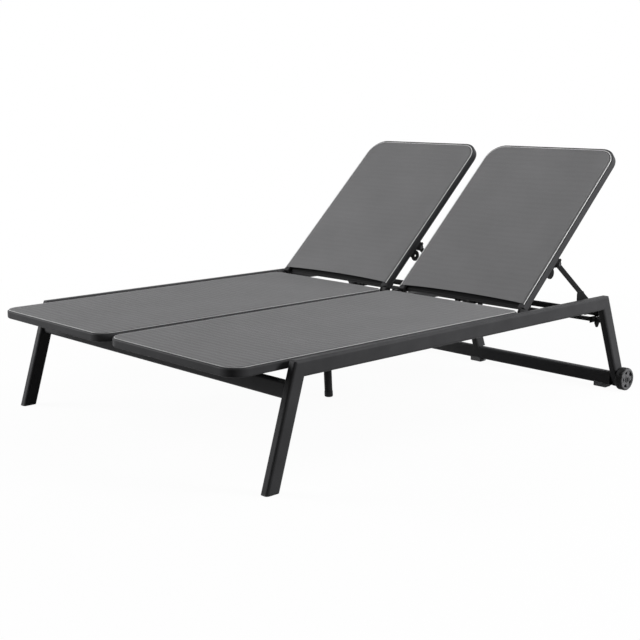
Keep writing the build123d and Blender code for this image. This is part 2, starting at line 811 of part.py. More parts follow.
def wheel_plane(x):
    """Sketch plane of the right wheel at x."""
    return Plane(origin=(x, wheel_y, wheel_z), x_dir=(0, 1, 0), z_dir=(1, 0, 0))


def make_wheel_hub():
    """Moulded hub with a dished face, small pockets near its rim and a round boss."""
    near = rail_outer + wheel_stand_off
    far = near + wheel_width
    hub = extrude(wheel_plane(near) * Circle(hub_radius), wheel_width)
    dish = Circle(hub_radius - hub_rim) - Circle(hub_boss_radius)
    hub -= extrude(wheel_plane(far - hub_dish) * dish, hub_dish + overrun)
    band = Circle(hub_radius - hub_rim - pocket_corner) - Circle(pocket_inner_radius)
    spokes = Sketch()
    for place in PolarLocations(0, pocket_count):
        reach = hub_radius + hub_boss_radius
        spokes += place * Pos(reach / 2, 0) * Rectangle(reach, spoke_width)
    pockets = band - spokes
    pockets = fillet(pockets.vertices(), pocket_corner)
    hub -= extrude(wheel_plane(far - pocket_depth) * pockets, pocket_depth + overrun)
    back_dish = Circle(hub_radius - hub_rim) - Circle(hub_boss_radius)
    hub -= extrude(wheel_plane(near - overrun) * back_dish, hub_dish + overrun)
    hub -= extrude(wheel_plane(near - overrun) * Circle(axle_radius + running_gap), wheel_width + 2 * overrun)
    return hub


def make_wheel_tyre():
    """Tread ring pressed over the hub, with one shallow groove."""
    near = rail_outer + wheel_stand_off
    tyre = extrude(wheel_plane(near) * Circle(wheel_radius), wheel_width)
    tyre = fillet(tyre.edges(), tyre_edge)
    tyre -= extrude(wheel_plane(near - overrun) * Circle(hub_radius), wheel_width + 2 * overrun)
    ring = Circle(wheel_radius + tyre_groove_depth) - Circle(wheel_radius - tyre_groove_depth)
    groove_x = near + (wheel_width - tyre_groove_width) / 2
    return tyre - extrude(wheel_plane(groove_x) * ring, tyre_groove_width)


def make_axle():
    """Axle bolt of the right wheel with its spacer on the leg."""
    near = rail_outer + wheel_stand_off
    far = near + wheel_width
    axle = extrude(wheel_plane(rail_outer) * Circle(axle_radius), far + wheel_side_gap - rail_outer)
    axle += extrude(wheel_plane(rail_outer) * Circle(spacer_radius), wheel_stand_off - wheel_side_gap)
    return axle + extrude(wheel_plane(far + wheel_side_gap) * Circle(axle_head_radius), axle_head_thick)


def build_frame():
    """Everything that stands still."""
    write_pair("side_rail", make_side_rail())
    write_pair("front_leg", make_leg(rail_front, front_lean_degrees, -1, front_cap_height))
    write_pair("rear_leg", make_leg(rail_rear, rear_lean_degrees, 1, rear_leg_end))
    front_cap = make_leg_cap(rail_front, front_lean_degrees, -1, 0, front_cap_height)
    write("front_leg_caps", both_sides([front_cap]))
    rear_cap = make_leg_cap(rail_rear, rear_lean_degrees, 1, rear_leg_end - rear_cap_height, rear_leg_end)
    write("rear_leg_caps", both_sides([rear_cap]))
    front_bar = (front_bar_face, front_bar_top, front_bar_depth, front_bar_height, bar_corner)
    write("front_crossbar", cross_tube(-rail_inner, rail_inner, *front_bar))
    floor_bar_top = rear_leg_end + floor_bar_height
    floor_bar = (floor_bar_face, floor_bar_top, floor_bar_depth, floor_bar_height, bar_corner)
    write("rear_floor_bar", cross_tube(-rail_inner, rail_inner, *floor_bar))
    upper_bar = (upper_bar_face, upper_bar_top, upper_bar_depth, upper_bar_height, upper_bar_corner)
    write_pair("upper_rear_bar", cross_tube(rail_width / 2, rail_inner, *upper_bar))
    write("centre_beam", make_centre_beam())
    write("beam_caps", make_beam_caps())
    write("centre_rear_post", make_centre_post())
    write("centre_leg", make_centre_leg())
    write("centre_leg_cap", make_centre_leg_cap())
    side_clip = rail_inner - clip_inset - clip_length / 2
    clips = [make_clip(x) for x in (-side_clip, 0, side_clip)]
    write("floor_bar_clips", Compound(children=clips))


def build_seats():
    """Both seats and what holds them."""
    outline = seat_outline()
    write_pair("seat_frame", panel_frame(outline, seat_bottom))
    write_pair("seat_sling", panel_sling(outline, seat_top))
    write_pair("seat_crossbars", make_seat_bars())
    write("seat_brackets", both_sides(seat_fixings(make_bracket)))
    write("seat_screws", both_sides(seat_fixings(make_seat_screw)))


def build_backs():
    """Both backs, their hinges and the ears of the stays."""
    write_pair("back_frame", on_back(make_back_frame()))
    write_pair("back_end_caps", on_back(make_back_end_caps()))
    write_pair("back_sling", on_back(make_back_sling()))
    write_pair("back_crossbars", on_back(make_back_bars()))
    write_pair("hinge_arms", make_hinge_arms())
    write_pair("stay_ears", make_stay_ears())
    write_pair("stay_pins", make_stay_pins())
    write("beam_ears", both_sides([make_beam_ear()]))
    write("hinge_bosses", both_sides(make_hinge_bosses()))
    write("hinge_pins", both_sides(make_hinge_pins()))


def build_stays():
    """Both stays, the racks they drop into and the catches of the lowest setting."""
    write_pair("stay_arms", make_stay_arms())
    write_pair("stay_foot_tube", make_foot_tube())
    write_pair("stay_foot_caps", make_foot_caps())
    write_pair("recline_racks", make_racks())
    write("rack_bolts", both_sides(make_rack_bolts()))
    write("rest_catches", both_sides(make_catches()))


def build_wheels():
    """Both wheels and their axles."""
    write_pair("wheel_hub", make_wheel_hub())
    write_pair("wheel_tyre", make_wheel_tyre())
    write("wheel_axles", both_sides([make_axle()]))


os.makedirs("parts", exist_ok=True)
build_frame()
build_seats()
build_backs()
build_stays()
build_wheels()
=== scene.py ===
import json
import math

import bmesh
import bpy
from bpy.props import FloatProperty, FloatVectorProperty, PointerProperty
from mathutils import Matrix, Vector


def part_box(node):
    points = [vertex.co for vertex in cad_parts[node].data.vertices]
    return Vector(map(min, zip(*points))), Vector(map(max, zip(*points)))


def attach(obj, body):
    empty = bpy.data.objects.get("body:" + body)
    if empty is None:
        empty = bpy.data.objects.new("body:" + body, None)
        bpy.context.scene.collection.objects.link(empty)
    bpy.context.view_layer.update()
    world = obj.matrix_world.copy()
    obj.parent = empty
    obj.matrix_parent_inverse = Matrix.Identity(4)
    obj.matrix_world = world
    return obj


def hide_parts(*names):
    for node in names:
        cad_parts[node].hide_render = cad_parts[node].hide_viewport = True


bl_info = {
    "name": "Double chaise lounger",
    "version": (1, 0, 0),
    "blender": (4, 5, 0),
    "location": "3D View > Sidebar > Lounger",
    "description": "Cloth, coatings and fixings around the fixed frame of a double chaise lounger",
    "category": "Object",
}

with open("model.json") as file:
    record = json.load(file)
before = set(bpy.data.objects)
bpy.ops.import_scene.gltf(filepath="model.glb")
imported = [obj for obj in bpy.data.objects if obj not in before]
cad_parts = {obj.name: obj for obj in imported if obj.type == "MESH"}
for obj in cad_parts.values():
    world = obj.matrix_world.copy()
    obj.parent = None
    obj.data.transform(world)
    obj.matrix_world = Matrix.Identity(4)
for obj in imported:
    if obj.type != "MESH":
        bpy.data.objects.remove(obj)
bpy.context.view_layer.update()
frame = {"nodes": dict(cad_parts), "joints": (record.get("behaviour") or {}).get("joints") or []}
NODES = frame["nodes"]
JOINTS = {joint["name"]: joint for joint in frame["joints"]}
SIDES = ("left", "right")


def span(node, axis):
    """Lowest and highest place of a CAD node along an axis."""
    low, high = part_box(node)
    return round(low[axis], 6), round(high[axis], 6)


# Resting recline of the backs, their hinge line and the wheels' axle, each line as its Y and Z
RECLINE = math.radians(-JOINTS["right_back_recline"]["range_deg"][0])
HINGE = tuple(JOINTS["right_back_recline"]["pos_m"][1:])
AXLE = tuple(JOINTS["right_wheel_spin"]["pos_m"][1:])

# A back in its own flat frame: v runs up it from the hinge line, and height stands off that line.
# Its cloth starts at a free low edge, and cloth and bead stop further in at the top than at the
# sides, by the top band.
BACK_TUBE_END = 0.7486
BACK_TUBE_TOP = 0.0085
BACK_CLOTH_INSET = 0.0095
FREE_EDGE = 0.030
TOP_BAND = 0.005

# The panels of the right half: their edges across and along, low and high corner radius, top of
# the tube, how far in from those edges the cloth and its bead lie, and whether the low edge is free
PANELS = {
    "seat": {
        "x": span("right_seat_frame", 0), "v": span("right_seat_frame", 1), "radius": (0.053, 0.030),
        "tube_top": span("right_seat_frame", 2)[1], "cloth_inset": 0.0062, "bead_inset": 0.0052,
        "free_edge": False,
    },
    "back": {
        "x": span("right_back_frame", 0), "v": (FREE_EDGE - BACK_CLOTH_INSET, BACK_TUBE_END - TOP_BAND),
        "radius": (0.0085, 0.070), "tube_top": BACK_TUBE_TOP, "cloth_inset": BACK_CLOTH_INSET,
        "bead_inset": 0.0064, "free_edge": True,
    },
}
PANEL_TUBE_WIDTH = 0.025

# How the cloth lies: its gap to the tube, sharpest corner and the shape of its sag, and the rows
# round a corner, rows between and columns of its mesh
CLOTH_GAP = 0.0004
SHARPEST_CORNER = 0.001
SAG_FULLNESS = 1.3
SAG_REACH = 6
CORNER_ROWS = 8
MIDDLE_ROWS = 70
COLUMNS = 44

# How strongly the ribs show in the colour of each cloth, and the shares of its other shades
RIB_SHARE = {"seat": 0.12, "back": 0.015}
YARN_SHARE = 0.10
FLECK_SHARE = 0.5
PATCH_SHARE = 0.25

# Specular levels of the finishes
COAT_GLOSS = 0.045
CLOTH_GLOSS = 0.08
PLASTIC_GLOSS = 0.15

# Beads: steps round a corner, spacing along the path, and sides of their section
OUTLINE_STEPS = 12
EDGE_BEAD_SPACING = 0.006
BEAD_SIDES = 8

# Welds: corners of the wide and the slim cross tubes, how far the bead stands off the tube, steps
# round a corner and round the middle leg, and the bead's spacing and its random swell
BAR_CORNER = 0.009
UPPER_BAR_CORNER = 0.005
WELD_STAND_OFF = 0.0004
WELD_STEPS = 4
WELD_RING_STEPS = 24
WELD_SPACING = 0.003
WELD_UNEVENNESS = 0.12
WELD_SEED = 4

# Socket heads: sides of the head and of the key's hole, the hole's width as a share of the head's,
# its length and the place of its middle as shares of the head's height, and each head's radius
HEAD_SIDES = 24
KEY_SIDES = 6
KEY_SHARE = 0.5
KEY_LENGTH = 3.0
KEY_LIFT = 1.7
SEAT_SCREW_FACE = 0.0036
RACK_BOLT_FACE = 0.0044
HINGE_PIN_FACE = 0.0066
AXLE_FACE = 0.0058
STAY_PIN_FACE = 0.0058

# Fixings nearer to the middle than this belong to the beam, and the others to a side frame
NEAR_MIDDLE = 0.2
LEFTWARD = (-1, 0, 0)
RIGHTWARD = (1, 0, 0)
DOWNWARD = (0, 0, -1)

# Points nearer than this are one point
SAME_POINT = 1e-6

# CAD nodes by finish. Those of a side have its name in front. The latch group, back crossbars included, takes
# the tube coat painted darker as painted shade.
COATED = ("front_crossbar", "rear_floor_bar", "centre_beam", "centre_rear_post", "centre_leg")
COATED_OF_SIDE = (
    "side_rail", "front_leg", "rear_leg", "upper_rear_bar", "seat_frame", "seat_crossbars", "back_frame",
)
# Latch parts and back crossbars: the tube coat painted darker, as painted shade
LATCH = ("seat_brackets", "beam_ears", "rest_catches")
LATCH_OF_SIDE = (
    "back_crossbars", "hinge_arms", "stay_ears", "stay_arms", "stay_foot_tube", "recline_racks",
)
STEEL = ("seat_screws", "rack_bolts", "hinge_pins", "wheel_axles")
PLUGS = ("beam_caps", "centre_leg_cap", "front_leg_caps", "rear_leg_caps", "hinge_bosses")
PLUGS_OF_SIDE = ("stay_foot_caps", "back_end_caps")

# Lamps: place, the point each looks at, and width
LAMPS = {
    "foot": ((-3.0, -3.6, 1.5), (0, -0.3, 0.3), 2.0),
    "left": ((-3.4, -2.6, 2.4), (0, -0.3, 0.3), 1.6),
    "side": ((3.6, 1.6, 1.6), (0.3, 0, 0.3), 1.0),
    "top": ((1.4, 1.4, 2.8), (0.3, 0, 0.3), 2.2),
}

# Camera of the photograph: place, how far it looks down, its turn from +Y towards -X, film width
CAMERA_PLACE = (2.87999, -2.74919, 1.04504)
CAMERA_DIP_DEGREES = 10.89
CAMERA_TURN_DEGREES = 46.53
FILM_WIDTH = 36.0

# Floor: just under the feet, its tones to the lamps and to bounced light, where its shadow fades
# out, and how much of the white shows near the lounger
FLOOR_DROP = 0.0005
FLOOR_TONE = (0.8, 0.8, 0.8, 1)
BOUNCE_TONE = (0.12, 0.12, 0.12, 1)
FADE_START = 0.9
FADE_END = 3.2
WHITE_NEAR = 0.96
WHITE = (1, 1, 1, 1)


# Materials

class Shading:
    """A tree of shader nodes being built, with short ways to add and join them."""

    def __init__(self, tree):
        self.tree = tree

    def add(self, kind, inputs=None, **settings):
        """A node with its settings and the values of its inputs."""
        node = self.tree.nodes.new(kind)
        for key, value in settings.items():
            setattr(node, key, value)
        for key, value in (inputs or {}).items():
            node.inputs[key].default_value = value
        return node

    def join(self, output, socket):
        """A link from an output to an input."""
        self.tree.links.new(output, socket)

    def sums(self, operation, a, b=0.0, **settings):
        """An operation on one value, or on two of which either may be a number."""
        node = self.add("ShaderNodeMath", operation=operation, **settings)
        for slot, value in enumerate((a, b)):
            if isinstance(value, (int, float)):
                node.inputs[slot].default_value = value
            else:
                self.join(value, node.inputs[slot])
        return node.outputs["Value"]

    def shown_rays(self):
        """1 for a ray that the camera, a gloss or a clear piece sends out, and 0 for any other."""
        path = self.add("ShaderNodeLightPath")
        shown = self.sums("ADD", path.outputs["Is Camera Ray"], path.outputs["Is Glossy Ray"], use_clamp=True)
        return self.sums("ADD", shown, path.outputs["Is Transmission Ray"], use_clamp=True)

    def blend(self, share, first, second):
        """Two shaders mixed by a share of the second."""
        mix = self.add("ShaderNodeMixShader")
        self.join(share, mix.inputs["Fac"])
        self.join(first, mix.inputs[1])
        self.join(second, mix.inputs[2])
        return mix.outputs[0]


class Recipe(Shading):
    """A material being built around its surface shader."""

    def __init__(self, name):
        self.material = bpy.data.materials.new(name)
        self.material.use_nodes = True
        super().__init__(self.material.node_tree)
        self.shader = self.tree.nodes["Principled BSDF"]
        self.relief = None

    def place(self, output="Object"):
        """The piece's own coordinates, in metres."""
        return self.add("ShaderNodeTexCoord").outputs[output]

    def noise(self, place, scale, detail=2.0, stretch=None):
        """Noise at a scale per metre, stretched along axes if asked."""
        if stretch:
            mapping = self.add("ShaderNodeMapping", {"Scale": stretch})
            self.join(place, mapping.inputs["Vector"])
            place = mapping.outputs["Vector"]
        noise = self.add("ShaderNodeTexNoise", {"Scale": scale, "Detail": detail})
        self.join(place, noise.inputs["Vector"])
        return noise.outputs["Fac"]

    def spread(self, value, low, high, start=0.3, end=0.7):
        """A value spread between two levels."""
        levels = {"From Min": start, "From Max": end, "To Min": low, "To Max": high}
        node = self.add("ShaderNodeMapRange", levels)
        self.join(value, node.inputs["Value"])
        return node.outputs["Result"]

    def weighted(self, *parts):
        """The sum of some values, each times its share."""
        total = None
        for value, share in parts:
            part = self.sums("MULTIPLY", value, share)
            total = part if total is None else self.sums("ADD", total, part)
        return total

    def colour(self, value, colour, dark, light, start=0.3, end=0.7):
        """The surface's colour, from a darker to a lighter tint by a value."""
        ramp = self.add("ShaderNodeValToRGB")
        first, second = ramp.color_ramp.elements
        first.position, first.color = start, (*tint(colour, dark), 1)
        second.position, second.color = end, (*tint(colour, light), 1)
        self.join(value, ramp.inputs["Fac"])
        self.join(ramp.outputs["Color"], self.shader.inputs["Base Color"])

    def roughness(self, value, low, high):
        """The surface's roughness, between two levels by a value."""
        self.join(self.spread(value, low, high), self.shader.inputs["Roughness"])

    def level(self, socket, value):
        """A level that is the same all over the surface."""
        self.shader.inputs[socket].default_value = value

    def bump(self, height, depth, strength):
        """One layer of relief over those before it, with its depth in metres."""
        layer = self.add("ShaderNodeBump", {"Distance": depth, "Strength": strength})
        self.join(height, layer.inputs["Height"])
        if self.relief is not None:
            self.join(self.relief, layer.inputs["Normal"])
        self.relief = layer.outputs["Normal"]
        self.join(self.relief, self.shader.inputs["Normal"])


def tint(colour, factor):
    """A colour made darker or lighter."""
    return tuple(min(1.0, c * factor) for c in colour)


def powder_coat(name, colour, roughness):
    """Fine-textured powder coating on metal tube."""
    r = Recipe(name)
    place = r.place()
    r.colour(r.noise(place, scale=14.0, detail=4.0), colour, dark=0.9, light=1.1)
    r.roughness(r.noise(place, scale=60.0, detail=3.0), roughness - 0.05, roughness + 0.06)
    r.level("Specular IOR Level", COAT_GLOSS)
    wave = r.noise(place, scale=220.0)
    peel = r.noise(place, scale=1400.0)
    r.bump(wave, depth=0.0002, strength=0.25)
    r.bump(peel, depth=0.00012, strength=0.35)
    return r.material


def moulded_plastic(name, colour, roughness):
    """Moulded plastic with a fine grain and slight flow marks."""
    r = Recipe(name)
    place = r.place()
    flow = r.noise(place, scale=30.0, detail=3.0, stretch=(1.0, 1.0, 0.4))
    r.colour(flow, colour, dark=0.88, light=1.14)
    r.roughness(flow, roughness - 0.06, roughness + 0.06)
    r.level("Specular IOR Level", PLASTIC_GLOSS)
    grain = r.noise(place, scale=900.0, detail=3.0)
    r.bump(grain, depth=0.00012, strength=0.4)
    return r.material


def dark_steel(name, colour, roughness):
    """Blackened steel with fine turning marks."""
    r = Recipe(name)
    marks = r.noise(r.place(), scale=260.0, detail=4.0, stretch=(1.0, 1.0, 6.0))
    r.level("Metallic", 0.8)
    r.colour(marks, colour, dark=0.8, light=1.25)
    r.roughness(marks, roughness - 0.08, roughness + 0.08)
    r.bump(marks, depth=0.0001, strength=0.3)
    return r.material


def dusty_rubber_with_painted_tread_shade(name, colour, tread_start):
    """Solid rubber, dusty on the sides, with painted shade darkening the tread, which starts at a radius."""
    r = Recipe(name)
    place = r.place()
    from_axle = r.add("ShaderNodeMapping", {"Location": (0.0, -AXLE[0], -AXLE[1]), "Scale": (0.0, 1.0, 1.0)})
    r.join(place, from_axle.inputs["Vector"])
    radius = r.add("ShaderNodeVectorMath", operation="LENGTH")
    r.join(from_axle.outputs["Vector"], radius.inputs[0])
    # painted shade: darkens the tread outward from the radius where it starts
    tread = r.spread(radius.outputs["Value"], low=0.0, high=0.6, start=tread_start, end=AXLE[1])
    dust = r.noise(place, scale=90.0, detail=5.0)
    r.colour(r.sums("SUBTRACT", dust, tread), colour, dark=0.06, light=1.2, start=0.05, end=0.6)
    r.roughness(dust, low=0.62, high=0.82)
    r.level("Specular IOR Level", PLASTIC_GLOSS)
    grain = r.noise(place, scale=1100.0, detail=3.0)
    r.bump(grain, depth=0.0002, strength=0.5)
    return r.material


def mesh_weave(name, colour, sizes, rib_share):
    """Coated yarn mesh: a plain weave both ways, with soft ribs across the panel."""
    r = Recipe(name)
    place = r.place("UV")
    split = r.add("ShaderNodeSeparateXYZ")
    r.join(place, split.inputs["Vector"])

    def waves(value, pitch):
        """A wave for every pitch."""
        return r.sums("SINE", r.sums("MULTIPLY", value, 2 * math.pi / pitch))

    across = waves(split.outputs["X"], sizes.yarn_pitch)
    along = waves(split.outputs["Y"], sizes.yarn_pitch)
    yarns = r.sums("MULTIPLY", across, along)
    wander = r.noise(place, scale=9.0, detail=3.0, stretch=(1.0, 2.2, 1.0))
    strayed = r.sums("ADD", split.outputs["Y"], r.sums("MULTIPLY", wander, sizes.rib_wander))
    ribs = waves(strayed, sizes.rib_pitch)
    patch = r.noise(place, scale=5.0)
    fleck = r.noise(place, scale=620.0)
    tone = r.weighted((ribs, rib_share), (yarns, YARN_SHARE), (fleck, FLECK_SHARE), (patch, PATCH_SHARE))
    r.colour(tone, colour, dark=0.62, light=1.38, start=0.0, end=0.75)
    r.roughness(fleck, low=0.62, high=0.8)
    r.level("Sheen Weight", 0.08)
    r.level("Specular IOR Level", CLOTH_GLOSS)
    r.bump(ribs, depth=0.0005, strength=0.25)
    r.bump(yarns, depth=0.00035, strength=0.6)
    return r.material


def piping_cord(name, colour):
    """Bead at the edge of the cloth, with the twist of its cord."""
    r = Recipe(name)
    twist = r.noise(r.place(), scale=900.0)
    r.colour(twist, colour, dark=0.85, light=1.12)
    r.level("Roughness", 0.5)
    r.bump(twist, depth=0.0002, strength=0.5)
    return r.material


def coat_nodes(names, material):
    """Better material on CAD nodes, whose shape is kept."""
    for name in names:
        for slot in NODES[name].material_slots:
            slot.material = material
        if not NODES[name].material_slots:
            NODES[name].data.materials.append(material)


def of_both_sides(names):
    """The names of both sides' nodes."""
    return [f"{side}_{name}" for side in SIDES for name in names]


# Shapes

def add_object(name, mesh):
    """Link a mesh as an object at the origin."""
    obj = bpy.data.objects.new(name, mesh)
    bpy.context.scene.collection.objects.link(obj)
    return obj


def body_of(side, kind):
    """The body that a panel's pieces ride on."""
    return "frame" if kind == "seat" else f"{side}_back"


def mirrored_x(side, x):
    """A place of the right half, moved to the named side."""
    return x if side == "right" else -x


def seat_place(x, v, height):
    """Where a point of a seat is."""
    return Vector((x, v, height))


def back_place(x, v, height):
    """Where a point is that is given in a back's own flat frame."""
    up, across = math.sin(RECLINE), math.cos(RECLINE)
    return Vector((x, HINGE[0] + v * across - height * up, HINGE[1] + v * up + height * across))


PLACES = {"seat": seat_place, "back": back_place}


def inside(edges, inset):
    """A pair of edges, each moved in."""
    return edges[0] + inset, edges[1] - inset


def corner_pull(v, low, high, r_low, r_high):
    """How far a rounded outline is pulled in at v, from its straight sides."""
    if v < low + r_low:
        d = low + r_low - v
        return r_low - math.sqrt(max(0.0, r_low * r_low - d * d))
    if v > high - r_high:
        d = v - (high - r_high)
        return r_high - math.sqrt(max(0.0, r_high * r_high - d * d))
    return 0.0


def row_places(low, high, r_low, r_high):
    """Places of the cloth's rows, close together round the corners."""
    quarter = math.pi / 2
    start, end = low + r_low, high - r_high
    rows = [low + r_low * (1 - math.cos(quarter * i / CORNER_ROWS)) for i in range(CORNER_ROWS)]
    rows += [start + (end - start) * i / MIDDLE_ROWS for i in range(MIDDLE_ROWS + 1)]
    rows += [end + r_high * math.sin(quarter * i / CORNER_ROWS) for i in range(1, CORNER_ROWS + 1)]
    return rows


def cloth_edges(panel):
    """The edges across and along a panel's cloth."""
    return inside(panel["x"], panel["cloth_inset"]), inside(panel["v"], panel["cloth_inset"])


def cloth_drop(x, v, panel, sag):
    """How far the cloth sags at a point: nothing over the tube, most in the middle."""
    x_low, x_high = inside(panel["x"], PANEL_TUBE_WIDTH)
    v_low, v_high = inside(panel["v"], PANEL_TUBE_WIDTH)
    free = panel["free_edge"]
    if not (x_low < x < x_high and v < v_high and (free or v > v_low)):
        return 0.0
    a = 2 * (x - x_low) / (x_high - x_low) - 1
    b = 2 * (v - v_low) / (v_high - v_low) - 1
    if free:
        b = max(0.0, b)
    return sag * (1 - a * a) ** SAG_FULLNESS * (1 - b ** SAG_REACH) ** SAG_FULLNESS


def cloth_lift(x, v, panel, bow):
    """How far the bow of a free low edge moves a point up the panel."""
    (x_low, x_high), (low, high) = cloth_edges(panel)
    a = (2 * x - x_low - x_high) / (x_high - x_low)
    return bow * (1 - min(1.0, a * a)) * max(0.0, high - v) / (high - low)


def sheet_faces(rows, wide):
    """Faces of a closed sheet of two layers, each of so many rows of points, and its rim."""
    layer_size = rows * wide
    faces = []
    for base in (0, layer_size):
        for j in range(rows - 1):
            for i in range(wide - 1):
                a = base + j * wide + i
                faces.append((a, a + 1, a + wide + 1, a + wide))
    rim = list(range(wide))
    rim += [j * wide + wide - 1 for j in range(1, rows)]
    rim += [(rows - 1) * wide + i for i in range(wide - 2, -1, -1)]
    rim += [j * wide for j in range(rows - 2, 0, -1)]
    for k, a in enumerate(rim):
        b = rim[(k + 1) % len(rim)]
        faces.append((a, b, b + layer_size, a + layer_size))
    return faces


def cloth_mesh(name, side, kind, sag, bow, thick):
    """Closed sheet of cloth stretched over one panel, with its flat places as its map."""
    panel, place = PANELS[kind], PLACES[kind]
    (x_low, x_high), (low, high) = cloth_edges(panel)
    r_low, r_high = (max(SHARPEST_CORNER, r - panel["cloth_inset"]) for r in panel["radius"])
    rows = row_places(low, high, r_low, r_high)
    points, flat = [], []
    for stand_off in (CLOTH_GAP + thick, CLOTH_GAP):
        for v in rows:
            pull = corner_pull(v, low, high, r_low, r_high)
            for i in range(COLUMNS + 1):
                x = x_low + pull + (x_high - x_low - 2 * pull) * i / COLUMNS
                lifted = v + cloth_lift(x, v, panel, bow)
                height = panel["tube_top"] + stand_off - cloth_drop(x, lifted, panel, sag)
                points.append(place(mirrored_x(side, x), lifted, height))
                flat.append((mirrored_x(side, x), lifted))
    mesh = bpy.data.meshes.new(name)
    mesh.from_pydata(points, [], sheet_faces(len(rows), COLUMNS + 1))
    work = bmesh.new()
    work.from_mesh(mesh)
    bmesh.ops.recalc_face_normals(work, faces=work.faces)
    work.to_mesh(mesh)
    work.free()
    mesh.polygons.foreach_set("use_smooth", [True] * len(mesh.polygons))
    layer = mesh.uv_layers.new(name="cloth")
    for loop in mesh.loops:
        layer.data[loop.index].uv = flat[loop.vertex_index]
    return mesh


def rounded_corners(a_edges, b_edges, r_low, r_high):
    """Centre, radius and start angle of each corner, from the one at the high a and the low b."""
    (a_low, a_high), (b_low, b_high) = a_edges, b_edges
    return [
        (a_high - r_low, b_low + r_low, r_low, -90),
        (a_high - r_high, b_high - r_high, r_high, 0),
        (a_low + r_high, b_high - r_high, r_high, 90),
        (a_low + r_low, b_low + r_low, r_low, 180),
    ]


def arcs(corners, steps):
    """Points round each corner in turn."""
    points = []
    for a, b, radius, start in corners:
        for i in range(steps + 1):
            angle = math.radians(start + 90 * i / steps)
            points.append((a + radius * math.cos(angle), b + radius * math.sin(angle)))
    return points


def bead_path(side, kind, height):
    """Points along the edge of a panel's cloth, all round or from one low end to the other."""
    panel, place = PANELS[kind], PLACES[kind]
    x_edges = inside(panel["x"], panel["bead_inset"])
    v_edges = inside(panel["v"], panel["bead_inset"])
    corners = rounded_corners(x_edges, v_edges, *(r - panel["bead_inset"] for r in panel["radius"]))
    if panel["free_edge"]:
        top_corners = arcs(corners[1:3], OUTLINE_STEPS)
        flat = [(x_edges[1], v_edges[0]), *top_corners, (x_edges[0], v_edges[0])]
    else:
        flat = arcs(corners, OUTLINE_STEPS)
    return [place(mirrored_x(side, x), v, height) for x, v in flat]


def loops_mesh(name, loops, closed=True):
    """Loops of edges, closed or open."""
    points, edges = [], []
    for loop in loops:
        base = len(points)
        points += loop
        count = len(loop) if closed else len(loop) - 1
        edges += [(base + i, base + (i + 1) % len(loop)) for i in range(count)]
    mesh = bpy.data.meshes.new(name)
    mesh.from_pydata(points, edges, [])
    return mesh


def bar_loop(x, node, corner):
    """Rounded loop round a cross tube where it meets a face at x."""
    y_edges, z_edges = (inside(span(node, axis), -WELD_STAND_OFF) for axis in (1, 2))
    corners = rounded_corners(y_edges, z_edges, corner, corner)
    return [Vector((x, y, z)) for y, z in arcs(corners, WELD_STEPS)]


def weld_loops():
    """Loops round every joint of cross tube and leg, and round the top of the middle leg."""
    loops = []
    bars = [("front_crossbar", BAR_CORNER), ("rear_floor_bar", BAR_CORNER)]
    bars += [(f"{side}_upper_rear_bar", UPPER_BAR_CORNER) for side in SIDES]
    for node, corner in bars:
        loops += [bar_loop(x, node, corner) for x in span(node, 0)]
    low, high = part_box("centre_leg")
    radius = (high.x - low.x) / 2
    ring = []
    for i in range(WELD_RING_STEPS):
        angle = 2 * math.pi * i / WELD_RING_STEPS
        ring.append(Vector((radius * math.cos(angle), low.y + radius * (1 + math.sin(angle)), high.z)))
    loops.append(ring)
    return loops


def islands(node):
    """Lowest and highest corner of each separate solid of a CAD node."""
    work = bmesh.new()
    work.from_mesh(NODES[node].data)
    bmesh.ops.remove_doubles(work, verts=work.verts, dist=SAME_POINT)
    left = set(work.verts)
    found = []
    for start in work.verts:
        if start not in left:
            continue
        left.remove(start)
        stack, group = [start], []
        while stack:
            vert = stack.pop()
            group.append(vert.co.copy())
            for edge in vert.link_edges:
                other = edge.other_vert(vert)
                if other in left:
                    left.remove(other)
                    stack.append(other)
        low = Vector([min(p[i] for p in group) for i in range(3)])
        high = Vector([max(p[i] for p in group) for i in range(3)])
        found.append((low, high))
    work.free()
    return found


def under_end(middle):
    """The lower end of a screw, wherever its middle is."""
    return (DOWNWARD,)


def outer_end(middle):
    """The outer end of an axle."""
    return (RIGHTWARD if middle.x > 0 else LEFTWARD,)


def panel_end(middle):
    """The end of a bolt or pin that looks towards the panel of its own half."""
    near_middle = abs(middle.x) < NEAR_MIDDLE
    return (RIGHTWARD if (middle.x > 0) == near_middle else LEFTWARD,)


def both_ends(middle):
    """Both ends of a pin, wherever its middle is."""
    return (LEFTWARD, RIGHTWARD)


def heads_mesh(name, node, ends):
    """A loose point at every head of a node's fixings, with the way that the head faces."""
    places, ways = [], []
    for low, high in islands(node):
        middle, half = (low + high) / 2, (high - low) / 2
        for way in ends(middle):
            places.append(middle + half * Vector(way))
            ways.append(way)
    mesh = bpy.data.meshes.new(name)
    mesh.from_pydata(places, [], [])
    attribute = mesh.attributes.new("facing", "FLOAT_VECTOR", "POINT")
    attribute.data.foreach_set("vector", [c for way in ways for c in way])
    return mesh


# Geometry node trees

